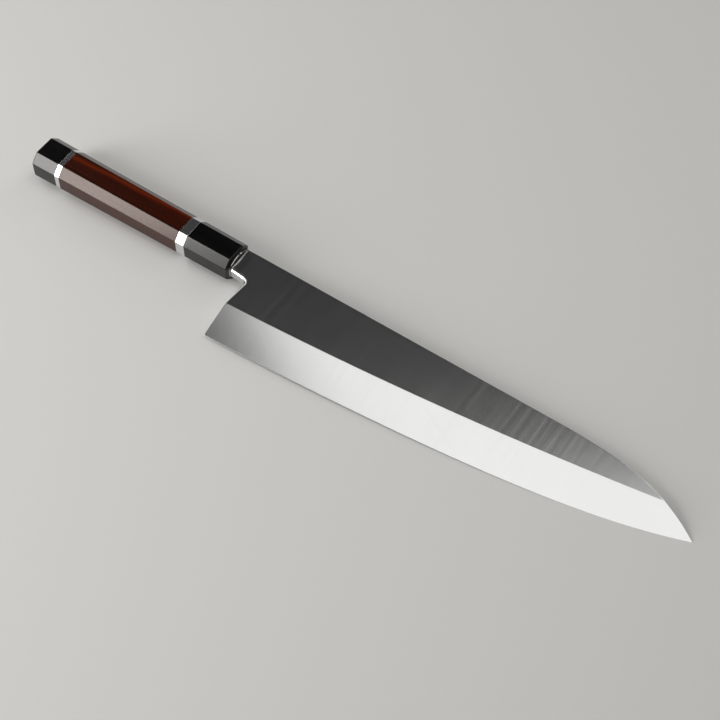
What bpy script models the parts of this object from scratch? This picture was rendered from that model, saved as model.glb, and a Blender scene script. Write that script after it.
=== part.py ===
"""A long single-bevelled fish knife with an octagonal handle, in metres, lying on a table.

Every piece is built in the knife's own frame: X runs along the handle's axis from the butt to the tip,
Y runs from the cutting edge to the spine, and Z stands out of the bevelled side. The handle's axis is the
line y = 0, z = 0, and its butt is at x = 0. At the end one empty carries all the pieces and lays the knife
down the way it settles on a table, bevel side up.
"""
import math

import bmesh
import bpy
import numpy as np
from mathutils import Matrix, Vector

# Lengths of the handle's pieces along its axis
BUTT_CAP_LENGTH = 0.0166
REAR_RING_LENGTH = 0.0031
HANDLE_BODY_LENGTH = 0.0844
FRONT_RING_LENGTH = 0.0059
FERRULE_LENGTH = 0.0300
GLUE_LINE = 0.0003

# Section of the handle: height along Y, width along Z, and the leg of each corner's chamfer
BUTT_HEIGHT = 0.0236
BUTT_WIDTH = 0.0204
BUTT_CHAMFER = 0.0053
FRONT_HEIGHT = 0.0209
FRONT_WIDTH = 0.0182
FRONT_CHAMFER = 0.0046
RIDGE_FLAT = 0.0003
END_ROUNDING = 0.0012
END_ROUNDING_STEPS = 4

# Dowels inside the handle
CAP_DOWEL_DIAMETER = 0.0080
CAP_DOWEL_DEPTH_IN_CAP = 0.0100
CAP_DOWEL_DEPTH_IN_BODY = 0.0120
WOOD_BETWEEN_BORES = 0.0035
CORE_COVER = 0.0011
CORE_END_SETBACK = 0.0070
CORE_SOLID_END = 0.0090
CORE_SLOT_SPARE = 0.0090
DOWEL_CLEARANCE = 0.0003
ROUND_SIDES = 32

# Tang, neck and the resin that seals the handle's mouth
TANG_HEIGHT = 0.0090
TANG_THICKNESS = 0.0046
TANG_END_HEIGHT = 0.0055
TANG_END_THICKNESS = 0.0026
TANG_ROOT = 0.0030
NECK_LENGTH = 0.0121
NECK_LOW_AT_SHOULDER = -0.0085
NECK_LOW_AT_CHOIL = -0.0093
CHOIL_RADIUS = 0.0028
CHOIL_STEPS = 8
TANG_CLEARANCE = 0.0003
SEAL_DEPTH = 0.0030
SEAL_WALL = 0.0005
SEAL_FLANGE = 0.0005
SEAL_BEAD = 0.0008

# Blade: lengths along X from the heel, heights along Y, thickness along Z
BLADE_LENGTH = 0.2806
SPINE_Y = 0.0089
SPINE_RISE = 0.0012
SPINE_CURVE_LENGTH = 0.0985
SPINE_DROP = 0.0217
HEEL_Y = -0.0479
EDGE_RISE_STRAIGHT = 0.0103
EDGE_RISE_CURVED = 0.0153
SHINOGI_HEEL_Y = -0.0281
SHINOGI_RISE_STRAIGHT = 0.0142
SHINOGI_RISE_CURVED = 0.0174
BLADE_THICKNESS = 0.0075
FRONT_THICKNESS = 0.0034
EDGE_THICKNESS = 0.0002

# Rounding of the blade's rims, as a share of the thickness there
NECK_ROUNDING = 0.31
SPINE_ROUNDING = 0.11
ROUNDING_STEPS = 3

# Shallow hollow ground into the flat back
HOLLOW_DEPTH = 0.0003
HOLLOW_RIM = 0.0030
HOLLOW_RUNOUT = 0.0060
HOLLOW_FROM_HEEL = 0.0200
HOLLOW_FROM_TIP = 0.0300

# How finely the blade is divided
HIRA_STATIONS = 44
TIP_STATIONS = 14
BEVEL_ROWS = (0.0, 0.14, 0.30, 0.65, 1.0)
NECK_ROW = 0.35
CUT_MARGIN = 0.00002

# Places along the handle, from the butt forwards
REAR_RING_X = BUTT_CAP_LENGTH
BODY_X = REAR_RING_X + REAR_RING_LENGTH
FRONT_RING_X = BODY_X + HANDLE_BODY_LENGTH
FERRULE_X = FRONT_RING_X + FRONT_RING_LENGTH
HANDLE_LENGTH = FERRULE_X + FERRULE_LENGTH

# Places along the blade
SHOULDER_X = HANDLE_LENGTH + GLUE_LINE + SEAL_FLANGE + TANG_CLEARANCE
HEEL_X = HANDLE_LENGTH + NECK_LENGTH
TIP_X = HEEL_X + BLADE_LENGTH
TIP_Y = SPINE_Y + SPINE_RISE - SPINE_DROP
BACK_Z = -BLADE_THICKNESS / 2

# Bores, dowels and tang inside the handle
CAP_DOWEL_START = REAR_RING_X - CAP_DOWEL_DEPTH_IN_CAP
CAP_DOWEL_END = BODY_X + CAP_DOWEL_DEPTH_IN_BODY
CORE_START = CAP_DOWEL_END + WOOD_BETWEEN_BORES + 2 * DOWEL_CLEARANCE
CORE_END = HANDLE_LENGTH - CORE_END_SETBACK
CORE_RADIUS = math.hypot(TANG_HEIGHT, TANG_THICKNESS) / 2 + CORE_COVER
SLOT_END = CORE_START + CORE_SOLID_END
TANG_END = SLOT_END + CORE_SLOT_SPARE

# Finishes: colour, metallic, roughness, and density in kg per cubic metre
FINISHES = {
    "steel": ((0.62, 0.63, 0.64), 1.0, 0.16, 7800),
    "nickel_silver": ((0.80, 0.79, 0.76), 1.0, 0.18, 8700),
    "rosewood": ((0.060, 0.014, 0.007), 0.0, 0.28, 950),
    "horn": ((0.006, 0.006, 0.007), 0.0, 0.12, 1300),
    "dowel_wood": ((0.48, 0.33, 0.19), 0.0, 0.60, 600),
    "resin": ((0.020, 0.014, 0.010), 0.0, 0.10, 1150),
}


def clear_scene():
    """Removes every object that the file starts with."""
    for obj in list(bpy.data.objects):
        bpy.data.objects.remove(obj, do_unlink=True)


def finish_material(name, finish):
    """A Principled material in the colour, metallic value and roughness of one finish."""
    colour, metallic, roughness, _ = FINISHES[finish]
    material = bpy.data.materials.new(name)
    material.use_nodes = True
    shader = material.node_tree.nodes["Principled BSDF"]
    shader.inputs["Base Color"].default_value = (*colour, 1.0)
    shader.inputs["Metallic"].default_value = metallic
    shader.inputs["Roughness"].default_value = roughness
    return material


def add_object(name, bm, carrier):
    """Turns a bmesh into an object with outward faces, carried by the knife's empty."""
    bmesh.ops.recalc_face_normals(bm, faces=bm.faces)
    mesh = bpy.data.meshes.new(name)
    bm.to_mesh(mesh)
    bm.free()
    obj = bpy.data.objects.new(name, mesh)
    bpy.context.collection.objects.link(obj)
    obj.parent = carrier
    return obj


def add_piece(name, bm, carrier, finish):
    """One sub-part of the knife, with its own material."""
    piece = add_object(name, bm, carrier)
    piece.data.materials.append(finish_material(name, finish))
    piece["density"] = FINISHES[finish][3]
    return piece


def combine(piece, bm, carrier, operation="DIFFERENCE"):
    """Takes the shape of bm out of a piece, or adds it, with a live Boolean."""
    tool = add_object(piece.name + "_tool", bm, carrier)
    tool.hide_render = True
    tool.display_type = "WIRE"
    boolean = piece.modifiers.new("Shape", "BOOLEAN")
    boolean.operation = operation
    boolean.solver = "EXACT"
    boolean.object = tool


def shade_round(piece):
    """Shades the round faces smooth and leaves the flat ends crisp."""
    piece.data.shade_smooth()
    piece.data.set_sharp_from_angle(angle=math.radians(35))


def rod(radius, start, end):
    """A round bar along the handle's axis from x = start to x = end."""
    bm = bmesh.new()
    along_x = Matrix.Translation(((start + end) / 2, 0, 0)) @ Matrix.Rotation(math.pi / 2, 4, "Y")
    bmesh.ops.create_cone(bm, cap_ends=True, segments=ROUND_SIDES, radius1=radius, radius2=radius,
                          depth=end - start, matrix=along_x)
    return bm


def block(low, high):
    """A box between two corners."""
    bm = bmesh.new()
    size = Vector(high) - Vector(low)
    centre = (Vector(high) + Vector(low)) / 2
    bmesh.ops.create_cube(bm, size=1, matrix=Matrix.Translation(centre) @ Matrix.Diagonal((*size, 1)))
    return bm


def octagon(x, inset=0.0):
    """The handle's section at x as 16 points: an octagon whose ridges have a narrow flat.

    Height, width and chamfer change evenly from the butt to the front. An inset moves every side inwards
    by that much, which shortens a chamfer's leg by (2 - sqrt 2) times the inset.
    """
    along = x / HANDLE_LENGTH
    half_height = (BUTT_HEIGHT + (FRONT_HEIGHT - BUTT_HEIGHT) * along) / 2 - inset
    half_width = (BUTT_WIDTH + (FRONT_WIDTH - BUTT_WIDTH) * along) / 2 - inset
    leg = BUTT_CHAMFER + (FRONT_CHAMFER - BUTT_CHAMFER) * along - (2 - math.sqrt(2)) * inset
    corners = []
    for y_side, z_side in ((1, 1), (-1, 1), (-1, -1), (1, -1)):
        on_side = Vector((x, y_side * half_height, z_side * (half_width - leg)))
        on_top = Vector((x, y_side * (half_height - leg), z_side * half_width))
        corners += [on_side, on_top] if y_side * z_side > 0 else [on_top, on_side]
    points = []
    for i, corner in enumerate(corners):
        for neighbour in (corners[i - 1], corners[(i + 1) % len(corners)]):
            points.append(corner + (neighbour - corner).normalized() * RIDGE_FLAT)
    return points


def rounded_end(x, inwards):
    """Sections from a handle's end face inwards, along a quarter circle; inwards is 1 or -1 along X."""
    loops = []
    for step in range(END_ROUNDING_STEPS + 1):
        angle = math.pi / 2 * step / END_ROUNDING_STEPS
        along = END_ROUNDING * (1 - math.cos(angle))
        loops.append(octagon(x + inwards * along, END_ROUNDING * (1 - math.sin(angle))))
    return loops


def handle_segment(start, end, round_start=False, round_end=False):
    """The handle between two places, less half a glue line at each end that meets another piece."""
    first = rounded_end(start, 1) if round_start else [octagon(start + GLUE_LINE / 2)]
    last = rounded_end(end, -1)[::-1] if round_end else [octagon(end - GLUE_LINE / 2)]
    return loft(first + last)


def loft(loops):
    """A closed solid through a row of loops with equally many points."""
    bm = bmesh.new()
    rings = [[bm.verts.new(p) for p in loop] for loop in loops]
    for ring, following in zip(rings, rings[1:]):
        for i in range(len(ring)):
            j = (i + 1) % len(ring)
            bm.faces.new((ring[i], ring[j], following[j], following[i]))
    bm.faces.new(rings[0])
    bm.faces.new(rings[-1])
    return bm


def spine_y(x):
    """The spine: rising a little from the neck, then falling with the cube of the way along its curve."""
    curve = max(0.0, (x - TIP_X + SPINE_CURVE_LENGTH) / SPINE_CURVE_LENGTH)
    return SPINE_Y + SPINE_RISE * (x - HEEL_X) / BLADE_LENGTH - SPINE_DROP * curve**3


def edge_y(x):
    """The cutting edge: a straight, a square and a sixth-power rise from the heel to the tip."""
    along = (x - HEEL_X) / BLADE_LENGTH
    tip_rise = TIP_Y - HEEL_Y - EDGE_RISE_STRAIGHT - EDGE_RISE_CURVED
    return HEEL_Y + EDGE_RISE_STRAIGHT * along + EDGE_RISE_CURVED * along**2 + tip_rise * along**6


def shinogi_y(x):
    """The ridge between the flat upper face and the bevel, which keeps nearly level with the edge."""
    along = (x - HEEL_X) / BLADE_LENGTH
    return SHINOGI_HEEL_Y + SHINOGI_RISE_STRAIGHT * along + SHINOGI_RISE_CURVED * along**2


def ridge_end():
    """The place where the shinogi runs out into the spine, found by halving the stretch that holds it."""
    low, high = HEEL_X, TIP_X
    for _ in range(40):
        middle = (low + high) / 2
        if shinogi_y(middle) < spine_y(middle):
            low = middle
        else:
            high = middle
    return low


def thickness(x, ridge_end_x):
    """The blade's thickness at its spine: even along the neck, then falling evenly towards the tip."""
    along = max(0.0, (x - HEEL_X) / (ridge_end_x - HEEL_X))
    return BLADE_THICKNESS + (FRONT_THICKNESS - BLADE_THICKNESS) * along


def ramp(distance):
    """Rises smoothly from 0 to 1 over the hollow's run-out."""
    share = min(1.0, max(0.0, distance / HOLLOW_RUNOUT))
    return share * share * (3 - 2 * share)


def upper_z(x, y, ridge_end_x):
    """The bevelled side: the flat upper face and, below the shinogi, the bevel down to the edge."""
    if x < HEEL_X - CUT_MARGIN:
        return BACK_Z + BLADE_THICKNESS
    full = thickness(x, ridge_end_x)
    across = min(1.0, (y - edge_y(x)) / (shinogi_y(x) - edge_y(x)))
    return BACK_Z + EDGE_THICKNESS + (full - EDGE_THICKNESS) * across


def lower_z(x, y):
    """The flat back: a plane with a shallow hollow inside a flat rim."""
    if x < HEEL_X - CUT_MARGIN:
        return BACK_Z
    across = ramp(y - edge_y(x) - HOLLOW_RIM) * ramp(spine_y(x) - y - HOLLOW_RIM)
    along = ramp(x - HEEL_X - HOLLOW_FROM_HEEL) * ramp(TIP_X - HOLLOW_FROM_TIP - x)
    return BACK_Z + HOLLOW_DEPTH * across * along


def plan_corner(plan, corners, x, y):
    """The plan's corner at a place, shared by every face that meets there to a thousandth of a millimetre."""
    place = (round(x, 6), round(y, 6))
    if place not in corners:
        corners[place] = plan.verts.new((x, y, 0))
    return corners[place]


def plan_patch(plan, corners, columns, rows):
    """Faces between two outlines: columns holds (x, low y, high y), and rows the shares of the way up."""
    grid = []
    for x, low, high in columns:
        grid.append([plan_corner(plan, corners, x, low * (1 - row) + high * row) for row in rows])
    for left, right in zip(grid, grid[1:]):
        for i in range(len(rows) - 1):
            face = list(dict.fromkeys((left[i], right[i], right[i + 1], left[i + 1])))
            if len(face) > 2:
                plan.faces.new(face)


def blade_plan(ridge_end_x):
    """The blade and neck seen from above, as one flat sheet of faces."""
    plan = bmesh.new()
    corners = {}
    hira_x = np.linspace(HEEL_X, ridge_end_x, HIRA_STATIONS)
    tip_x = np.linspace(ridge_end_x, TIP_X, TIP_STATIONS)[1:]
    neck_height = SPINE_Y - NECK_LOW_AT_CHOIL
    choil_share = (NECK_LOW_AT_CHOIL - CHOIL_RADIUS - SHINOGI_HEEL_Y) / (SPINE_Y - SHINOGI_HEEL_Y)
    neck_rows = (0.0, NECK_ROW, 1 - HOLLOW_RIM / (neck_height + CHOIL_RADIUS), 1.0)
    hira_rows = [0.0, choil_share / 2] + [choil_share + (1 - choil_share) * row for row in neck_rows]
    neck = [(SHOULDER_X, NECK_LOW_AT_SHOULDER, spine_y(SHOULDER_X))]
    for step in range(CHOIL_STEPS + 1):
        angle = math.pi / 2 * step / CHOIL_STEPS
        x = HEEL_X - CHOIL_RADIUS * (1 - math.sin(angle))
        neck.append((x, NECK_LOW_AT_CHOIL - CHOIL_RADIUS * (1 - math.cos(angle)), spine_y(x)))
    plan_patch(plan, corners, neck, neck_rows)
    plan_patch(plan, corners, [(x, shinogi_y(x), spine_y(x)) for x in hira_x], hira_rows)
    plan_patch(plan, corners, [(x, edge_y(x), shinogi_y(x)) for x in hira_x], BEVEL_ROWS)
    plan_patch(plan, corners, [(x, edge_y(x), spine_y(x)) for x in (ridge_end_x, *tip_x)], BEVEL_ROWS)
    return plan


def outward(vert):
    """The direction out of the plan at a corner of its outline; the shoulder, a plain cut, doesn't count."""
    direction = Vector((0, 0, 0))
    for edge in vert.link_edges:
        a, b = (corner.co for corner in edge.verts)
        if edge.is_boundary and max(a.x, b.x) > SHOULDER_X + CUT_MARGIN:
            middle = (a + b) / 2
            square = (b - a).cross(Vector((0, 0, 1))).normalized()
            away = middle - edge.link_faces[0].calc_center_median()
            direction += square if square.dot(away) > 0 else -square
    return direction.normalized()


def rounding(vert, ridge_end_x):
    """How far the rim is rounded: broadly round neck, choil and heel, a little at the spine, not at the edge."""
    x, y, _ = vert.co
    if x > HEEL_X - CUT_MARGIN and y < edge_y(x) + CUT_MARGIN:
        return 0.0
    share = SPINE_ROUNDING if y > spine_y(x) - CUT_MARGIN else NECK_ROUNDING
    return share * (upper_z(x, y, ridge_end_x) - lower_z(x, y))


def rim_profile(vert, ridge_end_x):
    """Points down the rim at one corner of the plan, from the upper face round to the back.

    The upper face and the back stop short of the outline by the rounding. From each of them a quarter
    circle runs out to the outline.
    """
    radius = rounding(vert, ridge_end_x)
    direction = outward(vert)
    inner = vert.co - direction * radius
    top, bottom = upper_z(inner.x, inner.y, ridge_end_x), lower_z(inner.x, inner.y)
    if radius < CUT_MARGIN or direction.length < 0.5:
        return [Vector((vert.co.x, vert.co.y, z)) for z in (top, bottom)]
    half = []
    for step in range(ROUNDING_STEPS + 1):
        angle = math.pi / 2 * step / ROUNDING_STEPS
        half.append((inner + direction * radius * math.sin(angle), radius * (1 - math.cos(angle))))
    upper = [Vector((place.x, place.y, top - drop)) for place, drop in half]
    lower = [Vector((place.x, place.y, bottom + drop)) for place, drop in reversed(half)]
    return upper + lower


def blade_solid():
    """Lifts the blade's plan to its upper and lower surfaces and joins them by a rounded rim."""
    ridge_end_x = ridge_end()
    plan = blade_plan(ridge_end_x)
    bm = bmesh.new()
    profiles = {}
    for vert in plan.verts:
        x, y, _ = vert.co
        points = [(x, y, upper_z(x, y, ridge_end_x)), (x, y, lower_z(x, y))]
        if vert.is_boundary:
            points = rim_profile(vert, ridge_end_x)
        profiles[vert] = [bm.verts.new(point) for point in points]
    for face in plan.faces:
        bm.faces.new([profiles[vert][0] for vert in face.verts])
        bm.faces.new([profiles[vert][-1] for vert in reversed(face.verts)])
    for edge in plan.edges:
        if edge.is_boundary:
            wall(bm, *(profiles[vert] for vert in edge.verts))
    plan.free()
    return bm


def wall(bm, profile, following):
    """Joins two neighbouring profiles of the rim, by quads or, where one is a plain line, by one face."""
    if len(profile) == len(following):
        for i in range(len(profile) - 1):
            bm.faces.new((profile[i], profile[i + 1], following[i + 1], following[i]))
    else:
        bm.faces.new(profile + following[::-1])


def rectangle(x, height, width):
    """A rectangle across the handle's axis at x, as four points."""
    return [Vector((x, y * height / 2, z * width / 2)) for y, z in ((1, 1), (-1, 1), (-1, -1), (1, -1))]


def neck_section(x, margin):
    """The neck's section at the shoulder, a margin outside it, with its broad lower and small upper corners."""
    points = []
    low, high = NECK_LOW_AT_SHOULDER - margin, SPINE_Y + margin
    half_width = BLADE_THICKNESS / 2 + margin
    for quarter, (y, side) in enumerate(((high, 1), (high, -1), (low, -1), (low, 1))):
        radius = (SPINE_ROUNDING if y == high else NECK_ROUNDING) * BLADE_THICKNESS + margin
        centre_y = y - radius if y == high else y + radius
        for step in range(ROUNDING_STEPS + 1):
            angle = math.pi / 2 * (1 - quarter - step / ROUNDING_STEPS)
            points.append(Vector((x, centre_y + radius * math.cos(angle),
                                  side * (half_width - radius) + radius * math.sin(angle))))
    return points


def round_tang(start, end, margin):
    """A block round the tang where it is highest, with a margin on every side."""
    sides = (TANG_HEIGHT + 2 * margin, TANG_THICKNESS + 2 * margin)
    return loft([rectangle(start, *sides), rectangle(end, *sides)])


def round_neck(start, end, margin):
    """A bar with the neck's section, a margin outside it."""
    return loft([neck_section(start, margin), neck_section(end, margin)])


def make_blade(carrier):
    """The forged blade with its neck and the tang that runs into the handle."""
    blade = add_piece("blade", blade_solid(), carrier, "steel")
    tang = loft([rectangle(TANG_END, TANG_END_HEIGHT, TANG_END_THICKNESS),
                 rectangle(SHOULDER_X, TANG_HEIGHT, TANG_THICKNESS),
                 rectangle(SHOULDER_X + TANG_ROOT, TANG_HEIGHT, TANG_THICKNESS)])
    combine(blade, tang, carrier, "UNION")
    return blade


def make_tang_seal(carrier):
    """Resin that fills the ferrule's pocket, spreads over its face and ends in a bead round the neck."""
    margin = TANG_CLEARANCE + SEAL_WALL
    flange_start = HANDLE_LENGTH + GLUE_LINE
    flange_end = flange_start + SEAL_FLANGE
    plug = round_tang(HANDLE_LENGTH - SEAL_DEPTH + GLUE_LINE, flange_end, margin)
    seal = add_piece("tang_seal", plug, carrier, "resin")
    combine(seal, round_neck(flange_start, SHOULDER_X + SEAL_BEAD, margin), carrier, "UNION")
    combine(seal, round_tang(TANG_END, TIP_X, TANG_CLEARANCE), carrier)
    combine(seal, round_neck(flange_end, TIP_X, TANG_CLEARANCE), carrier)
    return seal


def make_ferrule(carrier):
    """The horn ferrule: bored for the core dowel, slotted for the tang, with a pocket for the resin."""
    outside = handle_segment(FERRULE_X, HANDLE_LENGTH, round_end=True)
    ferrule = add_piece("ferrule", outside, carrier, "horn")
    combine(ferrule, rod(CORE_RADIUS + DOWEL_CLEARANCE, BODY_X, CORE_END + DOWEL_CLEARANCE), carrier)
    combine(ferrule, round_tang(BODY_X, TIP_X, TANG_CLEARANCE), carrier)
    pocket = round_tang(HANDLE_LENGTH - SEAL_DEPTH, TIP_X, SEAL_WALL + 2 * TANG_CLEARANCE)
    combine(ferrule, pocket, carrier)
    return ferrule


def make_front_ring(carrier):
    """The wider nickel silver ring between the ferrule and the wood."""
    ring = add_piece("front_ring", handle_segment(FRONT_RING_X, FERRULE_X), carrier, "nickel_silver")
    combine(ring, rod(CORE_RADIUS + DOWEL_CLEARANCE, BODY_X, HANDLE_LENGTH), carrier)
    return ring


def make_handle_body(carrier):
    """The rosewood grip, bored from the front for the core dowel and from the rear for the cap's dowel."""
    body = add_piece("handle_body", handle_segment(BODY_X, FRONT_RING_X), carrier, "rosewood")
    combine(body, rod(CORE_RADIUS + DOWEL_CLEARANCE, CORE_START - DOWEL_CLEARANCE, HANDLE_LENGTH), carrier)
    rear_bore = rod(CAP_DOWEL_DIAMETER / 2 + DOWEL_CLEARANCE, 0, CAP_DOWEL_END + DOWEL_CLEARANCE)
    combine(body, rear_bore, carrier)
    return body


def make_rear_ring(carrier):
    """The narrower nickel silver ring between the wood and the butt cap."""
    ring = add_piece("rear_ring", handle_segment(REAR_RING_X, BODY_X), carrier, "nickel_silver")
    combine(ring, rod(CAP_DOWEL_DIAMETER / 2 + DOWEL_CLEARANCE, 0, FRONT_RING_X), carrier)
    return ring


def make_butt_cap(carrier):
    """The horn cap that closes the butt, with a blind bore for its dowel."""
    cap = add_piece("butt_cap", handle_segment(0, REAR_RING_X, round_start=True), carrier, "horn")
    blind_bore = rod(CAP_DOWEL_DIAMETER / 2 + DOWEL_CLEARANCE, CAP_DOWEL_START - DOWEL_CLEARANCE, BODY_X)
    combine(cap, blind_bore, carrier)
    return cap


def make_core_dowel(carrier):
    """The dowel that joins ferrule, ring and grip, slotted from its front end to take the tang."""
    core = add_piece("core_dowel", rod(CORE_RADIUS, CORE_START, CORE_END), carrier, "dowel_wood")
    half_slot = TANG_THICKNESS / 2 + TANG_CLEARANCE
    slot = block((SLOT_END, -FRONT_HEIGHT, -half_slot), (HANDLE_LENGTH, FRONT_HEIGHT, half_slot))
    combine(core, slot, carrier)
    shade_round(core)
    return core


def make_cap_dowel(carrier):
    """The short dowel that joins the butt cap and the rear ring to the grip."""
    dowel = add_piece("cap_dowel", rod(CAP_DOWEL_DIAMETER / 2, CAP_DOWEL_START, CAP_DOWEL_END), carrier,
                      "dowel_wood")
    shade_round(dowel)
    return dowel


def evaluated_points(piece):
    """A piece's corners and triangles as the viewport evaluates them, in the knife's frame."""
    evaluated = piece.evaluated_get(bpy.context.evaluated_depsgraph_get())
    mesh = evaluated.to_mesh()
    mesh.calc_loop_triangles()
    points = np.array([v.co for v in mesh.vertices])
    triangles = np.array([t.vertices for t in mesh.loop_triangles])
    evaluated.to_mesh_clear()
    return points, triangles


def centre_of_gravity(pieces):
    """The knife's centre of gravity, from each piece's volume and density."""
    weight = 0.0
    moment = np.zeros(3)
    for piece in pieces:
        points, triangles = evaluated_points(piece)
        a, b, c = (points[triangles[:, i]] for i in range(3))
        volumes = np.einsum("ij,ij->i", a, np.cross(b, c)) / 6
        weight += volumes.sum() * piece["density"]
        moment += (volumes[:, None] * (a + b + c) / 4).sum(axis=0) * piece["density"]
    return Vector(moment / weight)


def lowest(function, low, high):
    """The place of a valley's lowest point, found by leaving off the higher third again and again."""
    for _ in range(60):
        third = (high - low) / 3
        if function(low + third) < function(high - third):
            high -= third
        else:
            low += third
    return (low + high) / 2


def resting_normal(points, centre):
    """The direction that points down when the knife settles on its flat side.

    A table that touches the knife from below slopes by some amount along X and along Y. The knife settles
    at the slopes that bring its centre of gravity nearest to the table. A table that touches both handle
    and blade is never steeper than the handle's width over the depth of the blade below the axis.
    """
    arms = points - np.array(centre)
    steepest = BUTT_WIDTH / -HEEL_Y

    def height(slope_x, slope_y):
        reach = arms @ np.array((slope_x, slope_y, -1.0))
        return reach.max() / math.sqrt(1 + slope_x**2 + slope_y**2)

    def best_slope_y(slope_x):
        return lowest(lambda slope_y: height(slope_x, slope_y), -steepest, steepest)

    slope_x = lowest(lambda slope: height(slope, best_slope_y(slope)), -steepest, steepest)
    return Vector((slope_x, best_slope_y(slope_x), -1.0)).normalized()


def lay_down(carrier, pieces):
    """Turns and moves the carrier so that the knife rests on z = 0, centred on the origin, along X."""
    points = np.concatenate([evaluated_points(piece)[0] for piece in pieces])
    normal = resting_normal(points, centre_of_gravity(pieces))
    level = normal.rotation_difference(Vector((0, 0, -1))).to_matrix()
    axis = level @ Vector((1, 0, 0))
    turn = Matrix.Rotation(-math.atan2(axis.y, axis.x), 3, "Z") @ level
    laid = points @ np.array(turn).T
    low, high = laid.min(axis=0), laid.max(axis=0)
    carrier.location = (-(low[0] + high[0]) / 2, -(low[1] + high[1]) / 2, -low[2])
    carrier.rotation_euler = turn.to_euler()


def build():
    """Makes the carrier and every piece, then lays the knife down."""
    clear_scene()
    carrier = bpy.data.objects.new("knife_carrier", None)
    bpy.context.collection.objects.link(carrier)
    makers = (make_blade, make_tang_seal, make_ferrule, make_front_ring, make_handle_body, make_rear_ring,
              make_butt_cap, make_core_dowel, make_cap_dowel)
    pieces = [make(carrier) for make in makers]
    bpy.context.view_layer.update()
    lay_down(carrier, pieces)


build()
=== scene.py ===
"""The look of a long single-bevelled fish knife: ground steel, horn, nickel silver and rosewood.

Every piece is worked out in the knife's own frame, as in the CAD: X runs along the handle's axis from the
butt to the tip, Y from the cutting edge to the spine, and Z out of the bevelled side. The knife lies a
little tilted on the table, so a finished piece's points are turned and moved once, by KNIFE_TURN and
KNIFE_PLACE, and its materials turn the other way to read the knife's own frame. Lengths are in metres.
"""
import math

import bmesh
import bpy
import numpy as np
from mathutils import Euler, Matrix, Vector


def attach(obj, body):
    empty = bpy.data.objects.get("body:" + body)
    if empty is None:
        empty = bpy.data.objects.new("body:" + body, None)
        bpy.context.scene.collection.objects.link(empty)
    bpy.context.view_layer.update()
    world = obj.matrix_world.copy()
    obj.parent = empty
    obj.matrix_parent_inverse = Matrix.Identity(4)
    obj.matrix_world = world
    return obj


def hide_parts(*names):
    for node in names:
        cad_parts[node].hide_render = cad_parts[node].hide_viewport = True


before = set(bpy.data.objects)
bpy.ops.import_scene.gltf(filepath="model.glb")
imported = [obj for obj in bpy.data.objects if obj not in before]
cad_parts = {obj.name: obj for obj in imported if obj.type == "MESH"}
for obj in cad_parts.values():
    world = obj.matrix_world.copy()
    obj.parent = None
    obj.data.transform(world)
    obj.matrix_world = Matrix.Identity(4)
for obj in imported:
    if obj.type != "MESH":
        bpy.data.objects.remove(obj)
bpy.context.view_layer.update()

# How the knife lies on the table
KNIFE_TURN = (0.0598561, 0.0167481, 0.0)
KNIFE_PLACE = (-0.2162061, 0.0177798, 0.0117487)

# Places along the handle, from the butt forwards
REAR_RING_X = 0.0166
BODY_X = 0.0197
FRONT_RING_X = 0.1041
FERRULE_X = 0.1100
HANDLE_LENGTH = 0.1400

# Section of the handle: height along Y, width along Z, and the leg of each corner's chamfer
BUTT_HEIGHT = 0.0236
BUTT_WIDTH = 0.0204
BUTT_CHAMFER = 0.0053
FRONT_HEIGHT = 0.0209
FRONT_WIDTH = 0.0182
FRONT_CHAMFER = 0.0046
BUTT_ROUNDING = 0.0007
BUTT_INSET = 0.00001
FERRULE_ROUNDING = 0.0012
RIDGE_RADIUS = 0.0008
FACET_CROWN = 0.00003
FACET_INSET = 0.00005

# Eased edges where two pieces of the handle meet: depth and length of the little slope
FINE_EASE = (0.00002, 0.00006)
RING_EASE = (0.00010, 0.00026)

# Bores inside the handle
CAP_BORE_RADIUS = 0.0043
CAP_BORE_START = 0.0063
CAP_BORE_END = 0.0320
CORE_BORE_RADIUS = 0.00645
CORE_BORE_START = 0.0355
CORE_BORE_END = 0.1333

# Tang, neck and the resin round it
SHOULDER_X = 0.1411
TANG_END = 0.0538
TANG_HALF_HEIGHT = 0.0045
TANG_HALF_WIDTH = 0.0023
TANG_END_HALF_HEIGHT = 0.00275
TANG_END_HALF_WIDTH = 0.0013
SLOT_CLEARANCE = 0.0003
POCKET_CLEARANCE = 0.0011
POCKET_DEPTH = 0.0030
PLUG_CLEARANCE = 0.0008
PLUG_DEPTH = 0.0027
BEAD_REACH = 0.0015
BEAD_WIDTH = 0.0028
BEAD_NARROWEST = 0.12
BEAD_LIP = 0.0006
BEAD_LIP_LIFT = 0.00019
BEAD_LIP_ROUND = 0.0001
BEAD_FOOT = 0.0012
BEAD_FOOT_LIFT = 0.00011

# Blade: lengths along X from the heel, heights along Y, thickness along Z
HEEL_X = 0.1521
BLADE_LENGTH = 0.2806
TIP_X = HEEL_X + BLADE_LENGTH
SPINE_Y = 0.0089
SPINE_RISE = 0.0012
SPINE_CURVE_LENGTH = 0.0985
SPINE_DROP = 0.0217
TIP_Y = SPINE_Y + SPINE_RISE - SPINE_DROP
HEEL_Y = -0.0479
EDGE_RISE_STRAIGHT = 0.0103
EDGE_RISE_CURVED = 0.0153
SHINOGI_HEEL_Y = -0.0281
SHINOGI_RISE_STRAIGHT = 0.0142
SHINOGI_RISE_CURVED = 0.0174
RIDGE_END_X = 0.4108
BLADE_THICKNESS = 0.0075
FRONT_THICKNESS = 0.0034
EDGE_THICKNESS = 0.00002
BACK_Z = -BLADE_THICKNESS / 2
EDGE_BEVEL_WIDTH = 0.00003
KIREHA_CROWN = 0.00004

# Lengths before the tip in which the edge's thickness and the bevel's crown run out
EDGE_FADE = 0.008
CROWN_FADE = 0.03

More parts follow.
